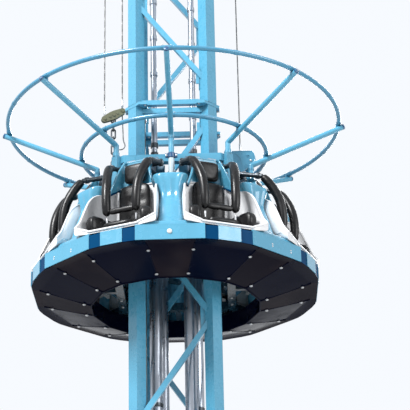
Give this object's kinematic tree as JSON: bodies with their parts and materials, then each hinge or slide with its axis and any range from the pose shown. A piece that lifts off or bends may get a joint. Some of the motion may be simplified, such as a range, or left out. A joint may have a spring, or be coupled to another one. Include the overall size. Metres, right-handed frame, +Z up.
{
  "type": "drop tower ride",
  "caption": "Fairground drop tower: a square lattice tower carries a round gondola with outward-facing seats, padded shoulder restraints and a ring crown.",
  "frame": {"origin": "on the ground at the tower's axis", "axes": "+Z up the tower, -Y towards the front of the picture"},
  "size_m": [3.0598, 3.0598, 9.949],
  "materials": {
    "sky_blue_paint": "gloss enamel",
    "dark_blue_paint": "gloss enamel",
    "sky_blue_gelcoat": "gelcoat on glass fibre",
    "white_gelcoat": "gelcoat on glass fibre",
    "dark_gloss": "polished dark gelcoat",
    "black_pad": "skinned foam over steel tube",
    "grey_casing": "satin",
    "zinc": "zinc plated",
    "sheave_iron": "painted casting",
    "rope_steel": "greased wire rope",
    "chrome": "ground and polished tube"
  },
  "bodies": {
    "tower": {"base_frame": "dark_blue_paint", "levelling_feet": "zinc", "tower_legs": "sky_blue_paint", "side_front": "sky_blue_paint", "side_right": "sky_blue_paint", "side_back": "sky_blue_paint", "side_left": "sky_blue_paint", "head_frame": "sky_blue_paint", "head_sheaves": "sheave_iron", "head_ropes": "rope_steel", "lift_cylinders": "chrome", "outer_rope": "rope_steel", "inner_rope": "rope_steel", "right_ropes": "rope_steel"},
    "gondola": {"chassis": "sky_blue_paint", "guide_rollers": "zinc", "seat_frame": "sky_blue_paint", "fascia_panels": "sky_blue_gelcoat", "fascia_strips": "dark_blue_paint", "underside": "dark_gloss", "cowls": "sky_blue_gelcoat", "back_panels": "sky_blue_gelcoat", "restraint_bearings": "grey_casing", "crown_arms": "sky_blue_paint", "crown_rings": "sky_blue_paint", "rope_brackets": "sky_blue_paint", "rope_ends": "zinc", "rope_yoke": "rope_steel", "yoke_chain": "rope_steel", "seat_1": "white_gelcoat", "seat_2": "white_gelcoat", "seat_3": "white_gelcoat", "seat_4": "white_gelcoat", "seat_5": "white_gelcoat", "seat_6": "white_gelcoat", "seat_7": "white_gelcoat", "seat_8": "white_gelcoat"},
    "restraint_1": {"restraint_1": "black_pad"},
    "restraint_2": {"restraint_2": "black_pad"},
    "restraint_3": {"restraint_3": "black_pad"},
    "restraint_4": {"restraint_4": "black_pad"},
    "restraint_5": {"restraint_5": "black_pad"},
    "restraint_6": {"restraint_6": "black_pad"},
    "restraint_7": {"restraint_7": "black_pad"},
    "restraint_8": {"restraint_8": "black_pad"}
  },
  "joints": [
    {"name": "gondola_lift", "type": "slide", "parent": "tower", "child": "gondola", "axis": [0, 0, 1], "range_m": [-5.55, 0.45], "deforming": ["outer_rope", "inner_rope", "right_ropes"]},
    {"name": "restraint_1_hinge", "type": "hinge", "parent": "gondola", "child": "restraint_1", "pos_m": [0.22961, -0.55433, 7.012], "axis": [-0.9239, -0.3827, 0], "range_deg": [0, 80]},
    {"name": "restraint_2_hinge", "type": "hinge", "parent": "gondola", "child": "restraint_2", "pos_m": [0.55433, -0.22961, 7.012], "axis": [-0.3827, -0.9239, 0], "range_deg": [0, 80]},
    {"name": "restraint_3_hinge", "type": "hinge", "parent": "gondola", "child": "restraint_3", "pos_m": [0.55433, 0.22961, 7.012], "axis": [0.3827, -0.9239, 0], "range_deg": [0, 80]},
    {"name": "restraint_4_hinge", "type": "hinge", "parent": "gondola", "child": "restraint_4", "pos_m": [0.22961, 0.55433, 7.012], "axis": [0.9239, -0.3827, 0], "range_deg": [0, 80]},
    {"name": "restraint_5_hinge", "type": "hinge", "parent": "gondola", "child": "restraint_5", "pos_m": [-0.22961, 0.55433, 7.012], "axis": [0.9239, 0.3827, 0], "range_deg": [0, 80]},
    {"name": "restraint_6_hinge", "type": "hinge", "parent": "gondola", "child": "restraint_6", "pos_m": [-0.55433, 0.22961, 7.012], "axis": [0.3827, 0.9239, 0], "range_deg": [0, 80]},
    {"name": "restraint_7_hinge", "type": "hinge", "parent": "gondola", "child": "restraint_7", "pos_m": [-0.55433, -0.22961, 7.012], "axis": [-0.3827, 0.9239, 0], "range_deg": [0, 80]},
    {"name": "restraint_8_hinge", "type": "hinge", "parent": "gondola", "child": "restraint_8", "pos_m": [-0.22961, -0.55433, 7.012], "axis": [-0.9239, 0.3827, 0], "range_deg": [0, 80]}
  ]
}
